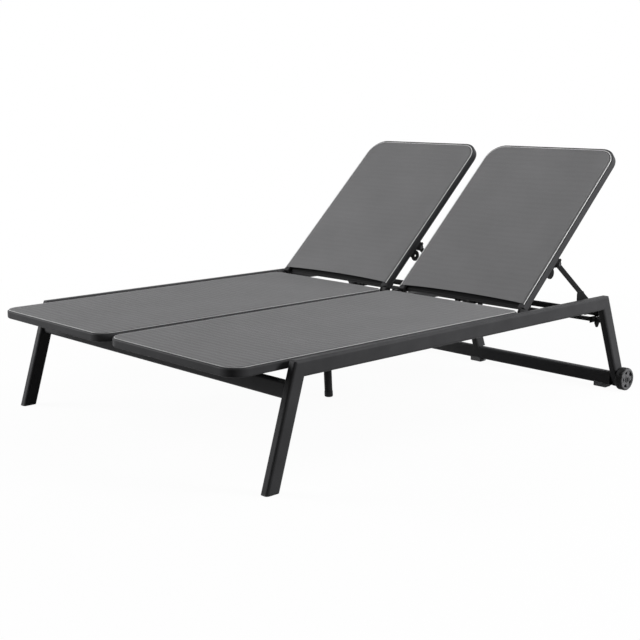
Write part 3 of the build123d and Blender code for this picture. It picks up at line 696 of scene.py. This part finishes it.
class Tree:
    """A geometry node tree being built, with named inputs."""

    def __init__(self, name, material):
        self.group = bpy.data.node_groups.new(name, "GeometryNodeTree")
        self.inputs = {}
        face = self.group.interface
        face.new_socket("Geometry", in_out="INPUT", socket_type="NodeSocketGeometry")
        face.new_socket("Geometry", in_out="OUTPUT", socket_type="NodeSocketGeometry")
        self.start = self.group.nodes.new("NodeGroupInput")
        self.end = self.group.nodes.new("NodeGroupOutput")
        self.material = material

    def size(self, name, kind="NodeSocketFloat"):
        """A named input of the tree."""
        socket = self.group.interface.new_socket(name, in_out="INPUT", socket_type=kind)
        self.inputs[name] = socket.identifier
        return self.start.outputs[name]

    def add(self, kind, links=None, values=None, **settings):
        """A node with its settings, its links and the values of its other inputs."""
        node = self.group.nodes.new(kind)
        for key, value in settings.items():
            setattr(node, key, value)
        for key, output in (links or {}).items():
            self.group.links.new(output, node.inputs[key])
        for key, value in (values or {}).items():
            node.inputs[key].default_value = value
        return node

    def times(self, value, factor):
        """A value times a number."""
        return self.add("ShaderNodeMath", {0: value}, {1: factor}, operation="MULTIPLY").outputs[0]

    def cylinder(self, radius, depth, sides):
        """A closed cylinder round the Z axis."""
        shape = {"Vertices": sides, "Side Segments": 1, "Fill Segments": 1}
        return self.add("GeometryNodeMeshCylinder", {"Radius": radius, "Depth": depth}, shape).outputs["Mesh"]

    def close(self, geometry):
        """End the tree: real geometry, in its material."""
        real = self.add("GeometryNodeRealizeInstances", {"Geometry": geometry})
        smooth = self.add("GeometryNodeSetShadeSmooth", {"Geometry": real.outputs["Geometry"]})
        done = self.add("GeometryNodeSetMaterial", {"Geometry": smooth.outputs["Geometry"]})
        done.inputs["Material"].default_value = self.material
        self.group.links.new(done.outputs["Geometry"], self.end.inputs["Geometry"])
        return self


def bead_tree(name, material):
    """A round bead along every loop of edges, which swells and thins at random if asked."""
    tree = Tree(name, material)
    radius = tree.size("Radius")
    spacing = tree.size("Spacing")
    unevenness = tree.size("Unevenness")
    seed = tree.size("Seed", "NodeSocketInt")
    curve = tree.add("GeometryNodeMeshToCurve", {"Mesh": tree.start.outputs["Geometry"]})
    even = tree.add(
        "GeometryNodeResampleCurve", {"Curve": curve.outputs["Curve"], "Length": spacing}, mode="LENGTH",
    )
    chance = tree.add("FunctionNodeRandomValue", {"Seed": seed}, {2: -1.0, 3: 1.0}, data_type="FLOAT")
    swell = tree.add("ShaderNodeMath", {0: chance.outputs[1], 1: unevenness}, operation="MULTIPLY")
    scale = tree.add("ShaderNodeMath", {0: swell.outputs[0]}, {1: 1.0}, operation="ADD")
    section = tree.add("GeometryNodeCurvePrimitiveCircle", {"Radius": radius}, {"Resolution": BEAD_SIDES})
    sweep = {
        "Curve": even.outputs["Curve"],
        "Profile Curve": section.outputs["Curve"],
        "Scale": scale.outputs[0],
    }
    swept = tree.add("GeometryNodeCurveToMesh", sweep, {"Fill Caps": True})
    return tree.close(swept.outputs["Mesh"])


def socket_tree(name, material):
    """A socket head at every point, turned the way that the point faces."""
    tree = Tree(name, material)
    radius = tree.size("Head radius")
    height = tree.size("Head height")
    head = tree.cylinder(radius, height, HEAD_SIDES)
    key = tree.cylinder(tree.times(radius, KEY_SHARE), tree.times(height, KEY_LENGTH), KEY_SIDES)
    offset = tree.add("ShaderNodeCombineXYZ", {"Z": tree.times(height, KEY_LIFT)})
    raised = tree.add("GeometryNodeTransform", {"Geometry": key, "Translation": offset.outputs[0]})
    cut = tree.add(
        "GeometryNodeMeshBoolean", {"Mesh 1": head, "Mesh 2": raised.outputs["Geometry"]},
        operation="DIFFERENCE", solver="EXACT",
    )
    points = tree.add("GeometryNodeMeshToPoints", {"Mesh": tree.start.outputs["Geometry"]})
    facing = tree.add(
        "GeometryNodeInputNamedAttribute", values={"Name": "facing"}, data_type="FLOAT_VECTOR",
    )
    turn = tree.add("FunctionNodeAlignRotationToVector", {"Vector": facing.outputs["Attribute"]}, axis="Z")
    heads = tree.add("GeometryNodeInstanceOnPoints", {
        "Points": points.outputs["Points"],
        "Instance": cut.outputs["Mesh"],
        "Rotation": turn.outputs["Rotation"],
    })
    return tree.close(heads.outputs["Instances"])


def grow(name, mesh, tree, sizes):
    """Run a tree on a mesh and keep its result as a plain mesh."""
    seed = add_object(name + "_seed", mesh)
    modifier = seed.modifiers.new("grow", "NODES")
    modifier.node_group = tree.group
    for key, value in sizes.items():
        modifier[tree.inputs[key]] = value
    bpy.context.view_layer.update()
    depsgraph = bpy.context.evaluated_depsgraph_get()
    result = bpy.data.meshes.new_from_object(seed.evaluated_get(depsgraph), depsgraph=depsgraph)
    bpy.data.objects.remove(seed)
    result.name = name
    if not result.polygons:
        raise RuntimeError(f"{name} came out empty")
    work = bmesh.new()
    work.from_mesh(result)
    bmesh.ops.remove_doubles(work, verts=work.verts, dist=SAME_POINT)
    bmesh.ops.recalc_face_normals(work, faces=work.faces)
    work.to_mesh(result)
    work.free()
    return add_object(name, result)


# Settings that a user would change

def colour_setting(name, description, default):
    """A colour with its default."""
    return FloatVectorProperty(
        name=name, description=description, subtype="COLOR", size=3, min=0, max=1, default=default)


def length_setting(name, description, default, least, most):
    """A length in metres with its default and limits."""
    return FloatProperty(
        name=name, description=description, default=default, min=least, max=most, unit="LENGTH")


def power_setting(name, description, default):
    """A lamp's power in watts with its default."""
    return FloatProperty(name=name, description=description, default=default, min=0, max=2000, unit="POWER")


class LoungerCloth(bpy.types.PropertyGroup):
    """Cloth of the seats and backs, and the bead at its edge"""
    # Seats and backs are one cloth: the seats' colour is the backs' painted darker, as painted shade
    seat_colour: colour_setting("Seat cloth", "Colour of the seat cloth", (0.137, 0.137, 0.140))
    back_colour: colour_setting("Back cloth", "Colour of the back cloth", (0.166, 0.166, 0.169))
    # Seat and back beads are one cord: the backs' bead is painted lighter, as a painted highlight
    seat_bead_colour: colour_setting("Seat edge bead", "Colour of the bead round a seat", (0.38, 0.38, 0.38))
    back_bead_colour: colour_setting("Back edge bead", "Colour of the bead round a back", (0.60, 0.60, 0.60))
    thickness: length_setting("Thickness", "Thickness of the cloth", 0.0016, 0.0005, 0.003)
    seat_sag: length_setting("Seat sag", "Sag in the middle of a seat", 0.004, 0, 0.01)
    back_sag: length_setting("Back sag", "Sag in the middle of a back", 0.003, 0, 0.01)
    back_bow: length_setting("Back bow", "Bow of the free low edge of a back's cloth", 0.010, 0, 0.03)
    yarn_pitch: length_setting("Yarn pitch", "Distance between two yarns", 0.0021, 0.001, 0.01)
    rib_pitch: length_setting("Rib pitch", "Distance between two soft ribs", 0.023, 0.005, 0.1)
    rib_wander: length_setting("Rib wander", "How far the ribs stray", 0.024, 0, 0.2)
    seat_bead_radius: length_setting(
        "Seat bead radius", "Radius of the bead round a seat", 0.0011, 0.0005, 0.003)
    back_bead_radius: length_setting(
        "Back bead radius", "Radius of the bead round a back", 0.0014, 0.0005, 0.003)


class LoungerCoat(bpy.types.PropertyGroup):
    """Powder coat of the frame, and the same coat painted darker on the latch as painted shade"""
    frame_colour: colour_setting("Tube coat", "Colour of the powder coat", (0.047, 0.047, 0.049))
    # Painted shade: the tube coat made darker for stays, racks, ears and back crossbars
    latch_shade_colour: colour_setting("Latch coat", "Colour of stays, racks and ears", (0.010, 0.010, 0.0105))
    roughness: FloatProperty(
        name="Roughness", description="Roughness of the powder coat", subtype="FACTOR", default=0.48,
        min=0, max=1)
    weld_radius: length_setting("Weld bead", "Radius of the weld beads", 0.0018, 0.0005, 0.004)


class LoungerPlastic(bpy.types.PropertyGroup):
    """Plastic and rubber parts"""
    plug_colour: colour_setting("Plugs", "Colour of plugs and feet", (0.020, 0.020, 0.021))
    clip_colour: colour_setting("Floor clips", "Colour of the floor clips", (0.150, 0.150, 0.155))
    hub_colour: colour_setting("Wheel hubs", "Colour of the wheel hubs", (0.100, 0.100, 0.103))
    tyre_colour: colour_setting("Tyres", "Colour of the tyres", (0.120, 0.120, 0.123))
    # Radius where the painted shade on the tyre's tread begins
    tread_start: length_setting("Tread start", "Radius at which a tyre's tread starts", 0.037, 0.03, 0.041)


class LoungerFixings(bpy.types.PropertyGroup):
    """Bolts, pins and screws"""
    steel_colour: colour_setting("Steel", "Colour of bolts and pins", (0.045, 0.045, 0.047))
    head_height: length_setting("Head height", "Height of a socket head's face", 0.0012, 0.0005, 0.004)


class LoungerStage(bpy.types.PropertyGroup):
    """Floor, light and camera"""
    floor_size: length_setting("Floor", "Width of the floor", 40.0, 5, 100)
    foot_power: power_setting("Foot light", "Power of the light at the foot end", 118.0)
    left_power: power_setting("Left light", "Power of the light at the left", 122.0)
    side_power: power_setting("Side light", "Power of the light at the right side", 127.0)
    top_power: power_setting("Top light", "Power of the light above the head end", 54.0)
    world_level: FloatProperty(
        name="World", description="Strength of the even light", default=0.02, min=0, max=3)
    view_lens: FloatProperty(
        name="Lens", description="Focal length of the camera", default=65.336, min=10, max=300)


class LoungerSettings(bpy.types.PropertyGroup):
    """All settings of the lounger"""
    cloth: PointerProperty(type=LoungerCloth, name="Cloth", description="Cloth of seats and backs")
    coat: PointerProperty(type=LoungerCoat, name="Coat", description="Powder coat of the metal")
    plastic: PointerProperty(type=LoungerPlastic, name="Plastic", description="Plastic and rubber parts")
    fixings: PointerProperty(type=LoungerFixings, name="Fixings", description="Bolts, pins and screws")
    stage: PointerProperty(type=LoungerStage, name="Stage", description="Floor, light and camera")


def settings():
    """The settings of this scene."""
    return bpy.context.scene.lounger


# Operators

def stretch_cloths(kind):
    cloth, panel = settings().cloth, PANELS[kind]
    weave = mesh_weave(f"{kind} cloth", tuple(getattr(cloth, f"{kind}_colour")), cloth, RIB_SHARE[kind])
    sag = getattr(cloth, f"{kind}_sag")
    bow = cloth.back_bow if panel["free_edge"] else 0.0
    (x_low, x_high), (low, high) = cloth_edges(panel)
    for side in SIDES:
        name = f"{side}_{kind}_cloth"
        obj = add_object(name, cloth_mesh(name, side, kind, sag, bow, cloth.thickness))
        obj.data.materials.append(weave)
        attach(obj, body_of(side, kind))
        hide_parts(f"{side}_{kind}_sling")


class LOUNGER_OT_seat_cloth(bpy.types.Operator):
    """Stretch the ribbed cloth over both seats"""
    bl_idname = "lounger.seat_cloth"
    bl_label = "Seat cloth"

    def execute(self, context):
        stretch_cloths("seat")
        return {"FINISHED"}


class LOUNGER_OT_back_cloth(bpy.types.Operator):
    """Stretch the cloth over both backs"""
    bl_idname = "lounger.back_cloth"
    bl_label = "Back cloth"

    def execute(self, context):
        stretch_cloths("back")
        return {"FINISHED"}


class LOUNGER_OT_edge_beads(bpy.types.Operator):
    """Lay a light bead round each seat's cloth and along three edges of each back's"""
    bl_idname = "lounger.edge_beads"
    bl_label = "Edge beads"

    def execute(self, context):
        cloth = settings().cloth
        for kind, panel in PANELS.items():
            radius = getattr(cloth, f"{kind}_bead_radius")
            colour = tuple(getattr(cloth, f"{kind}_bead_colour"))
            tree = bead_tree(f"{kind} edge bead", piping_cord(f"{kind} edge bead", colour))
            sizes = {"Radius": radius, "Spacing": EDGE_BEAD_SPACING, "Unevenness": 0.0, "Seed": 1}
            for side in SIDES:
                path = bead_path(side, kind, panel["tube_top"] + radius)
                name = f"{side}_{kind}_edge_bead"
                obj = grow(name, loops_mesh(f"{name}_path", [path], not panel["free_edge"]), tree, sizes)
                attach(obj, body_of(side, kind))
        return {"FINISHED"}


class LOUNGER_OT_weld_beads(bpy.types.Operator):
    """Run a weld bead round every joint of the cross tubes and the middle leg"""
    bl_idname = "lounger.weld_beads"
    bl_label = "Weld beads"

    def execute(self, context):
        tree = bead_tree("weld bead", bpy.data.materials["tube coat"])
        sizes = {
            "Radius": settings().coat.weld_radius, "Spacing": WELD_SPACING,
            "Unevenness": WELD_UNEVENNESS, "Seed": WELD_SEED,
        }
        obj = grow("weld_beads", loops_mesh("weld_paths", weld_loops()), tree, sizes)
        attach(obj, "frame")
        return {"FINISHED"}


class LOUNGER_OT_bolt_heads(bpy.types.Operator):
    """Put socket heads on the bolts, pins, axles and screws"""
    bl_idname = "lounger.bolt_heads"
    bl_label = "Bolt heads"

    def execute(self, context):
        tree = socket_tree("socket head", bpy.data.materials["dark steel"])
        groups = [
            ("seat_screw_faces", "seat_screws", under_end, SEAT_SCREW_FACE, "frame"),
            ("rack_bolt_faces", "rack_bolts", panel_end, RACK_BOLT_FACE, "frame"),
            ("hinge_pin_faces", "hinge_pins", panel_end, HINGE_PIN_FACE, "frame"),
            ("axle_faces", "wheel_axles", outer_end, AXLE_FACE, "frame"),
        ]
        groups += [
            (f"{side}_stay_pin_faces", f"{side}_stay_pins", both_ends, STAY_PIN_FACE, f"{side}_back")
            for side in SIDES
        ]
        for name, node, ends, radius, body in groups:
            sizes = {"Head radius": radius, "Head height": settings().fixings.head_height}
            obj = grow(name, heads_mesh(f"{name}_points", node, ends), tree, sizes)
            obj.data.polygons.foreach_set("use_smooth", [False] * len(obj.data.polygons))
            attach(obj, body)
        return {"FINISHED"}


class LOUNGER_OT_metal_coat(bpy.types.Operator):
    """Powder coat on the tubes, the same coat painted darker on the latch parts as painted shade, and dark
    steel on the fixings
    """
    bl_idname = "lounger.metal_coat"
    bl_label = "Metal coat"

    def execute(self, context):
        coat = settings().coat
        tubes = powder_coat("tube coat", tuple(coat.frame_colour), coat.roughness)
        # painted shade: the latch parts get a darker copy of the tube coat
        latch = powder_coat("latch coat", tuple(coat.latch_shade_colour), coat.roughness)
        steel = dark_steel("dark steel", tuple(settings().fixings.steel_colour), roughness=0.42)
        coat_nodes([*COATED, *of_both_sides(COATED_OF_SIDE)], tubes)
        coat_nodes([*LATCH, *of_both_sides(LATCH_OF_SIDE)], latch)
        coat_nodes([*STEEL, *of_both_sides(["stay_pins"])], steel)
        return {"FINISHED"}


class LOUNGER_OT_plastic_parts(bpy.types.Operator):
    """Plastic and rubber finishes of plugs, clips, hubs and tyres"""
    bl_idname = "lounger.plastic_parts"
    bl_label = "Plastic parts"

    def execute(self, context):
        plastic = settings().plastic
        plug = moulded_plastic("plug plastic", tuple(plastic.plug_colour), roughness=0.55)
        clip = moulded_plastic("clip plastic", tuple(plastic.clip_colour), roughness=0.5)
        hub = moulded_plastic("hub plastic", tuple(plastic.hub_colour), roughness=0.45)
        tyre = dusty_rubber_with_painted_tread_shade("tyre rubber", tuple(plastic.tyre_colour), plastic.tread_start)
        coat_nodes([*PLUGS, *of_both_sides(PLUGS_OF_SIDE)], plug)
        coat_nodes(["floor_bar_clips"], clip)
        coat_nodes(of_both_sides(["wheel_hub"]), hub)
        coat_nodes(of_both_sides(["wheel_tyre"]), tyre)
        return {"FINISHED"}


def floor_material():
    """Pale floor that keeps the shadow near the lounger and fades to white far away."""
    r = Recipe("pale floor")
    r.tree.nodes.remove(r.shader)
    path = r.add("ShaderNodeLightPath")
    tone = r.add("ShaderNodeMix", {"A": FLOOR_TONE, "B": BOUNCE_TONE}, data_type="RGBA")
    r.join(path.outputs["Is Diffuse Ray"], tone.inputs["Factor"])
    matte = r.add("ShaderNodeBsdfDiffuse")
    r.join(tone.outputs["Result"], matte.inputs["Color"])
    glow = r.add("ShaderNodeEmission", {"Strength": 1.0})
    reach = r.add("ShaderNodeVectorMath", operation="LENGTH")
    r.join(r.place(), reach.inputs[0])
    fade = r.add(
        "ShaderNodeMapRange",
        {"From Min": FADE_START, "From Max": FADE_END, "To Min": WHITE_NEAR, "To Max": 1.0},
        interpolation_type="SMOOTHSTEP",
    )
    r.join(reach.outputs["Value"], fade.inputs["Value"])
    share = r.sums("MULTIPLY", r.shown_rays(), fade.outputs["Result"])
    surface = r.blend(share, matte.outputs[0], glow.outputs[0])
    r.join(surface, r.tree.nodes["Material Output"].inputs["Surface"])
    return r.material


def white_world(level):
    """Even light whose background is white where the camera, gloss and clear pieces see it."""
    world = bpy.data.worlds.new("even light")
    bpy.context.scene.world = world
    world.use_nodes = True
    sky = Shading(world.node_tree)
    light = sky.tree.nodes["Background"]
    light.inputs["Color"].default_value = WHITE
    light.inputs["Strength"].default_value = level
    white = sky.add("ShaderNodeBackground", {"Color": WHITE})
    surface = sky.blend(sky.shown_rays(), light.outputs[0], white.outputs[0])
    sky.join(surface, sky.tree.nodes["World Output"].inputs["Surface"])


def area_light(name, place, target, width, power):
    """Soft square lamp that looks at a point."""
    data = bpy.data.lights.new(name, "AREA")
    data.shape = "SQUARE"
    data.size = width
    data.energy = power
    lamp = bpy.data.objects.new(name, data)
    bpy.context.scene.collection.objects.link(lamp)
    lamp.location = place
    lamp.rotation_euler = (Vector(target) - Vector(place)).to_track_quat("-Z", "Y").to_euler()


class LOUNGER_OT_stage(bpy.types.Operator):
    """Floor, light and camera at the photograph's viewing angle"""
    bl_idname = "lounger.stage"
    bl_label = "Stage"

    def execute(self, context):
        stage, scene = settings().stage, context.scene
        half = stage.floor_size / 2
        corners = [(-half, -half, 0), (half, -half, 0), (half, half, 0), (-half, half, 0)]
        mesh = bpy.data.meshes.new("floor")
        mesh.from_pydata(corners, [], [(0, 1, 2, 3)])
        floor = add_object("floor", mesh)
        floor.location.z = -FLOOR_DROP
        floor.data.materials.append(floor_material())
        white_world(stage.world_level)
        for name, (place, target, width) in LAMPS.items():
            area_light(f"{name} light", place, target, width, getattr(stage, f"{name}_power"))
        camera = bpy.data.objects.new("camera", bpy.data.cameras.new("camera"))
        scene.collection.objects.link(camera)
        camera.location = CAMERA_PLACE
        camera.rotation_euler = (math.radians(90 - CAMERA_DIP_DEGREES), 0, math.radians(CAMERA_TURN_DEGREES))
        camera.data.lens = stage.view_lens
        camera.data.sensor_width = FILM_WIDTH
        scene.camera = camera
        scene.view_settings.view_transform = "Standard"
        return {"FINISHED"}


GROUPS = (LoungerCloth, LoungerCoat, LoungerPlastic, LoungerFixings, LoungerStage, LoungerSettings)
OPERATORS = (
    LOUNGER_OT_stage,
    LOUNGER_OT_metal_coat,
    LOUNGER_OT_plastic_parts,
    LOUNGER_OT_seat_cloth,
    LOUNGER_OT_back_cloth,
    LOUNGER_OT_edge_beads,
    LOUNGER_OT_weld_beads,
    LOUNGER_OT_bolt_heads,
)


class LOUNGER_PT_panel(bpy.types.Panel):
    """Settings and makers of the lounger"""
    bl_idname = "LOUNGER_PT_panel"
    bl_label = "Lounger"
    bl_space_type = "VIEW_3D"
    bl_region_type = "UI"
    bl_category = "Lounger"

    def draw(self, context):
        for group in ("cloth", "coat", "plastic", "fixings", "stage"):
            box = self.layout.box()
            box.label(text=group.capitalize())
            values = getattr(context.scene.lounger, group)
            for key in values.__annotations__:
                box.prop(values, key)
        for operator in OPERATORS:
            self.layout.operator(operator.bl_idname)


def register():
    """Register settings, operators and panel."""
    for kind in (*GROUPS, *OPERATORS, LOUNGER_PT_panel):
        bpy.utils.register_class(kind)
    bpy.types.Scene.lounger = PointerProperty(type=LoungerSettings)


def unregister():
    """Take settings, operators and panel away again."""
    del bpy.types.Scene.lounger
    for kind in reversed((*GROUPS, *OPERATORS, LOUNGER_PT_panel)):
        bpy.utils.unregister_class(kind)


def main():
    """Make everything in order."""
    register()
    for operator in OPERATORS:
        group, name = operator.bl_idname.split(".")
        getattr(getattr(bpy.ops, group), name)()


if __name__ == "__main__":
    main()
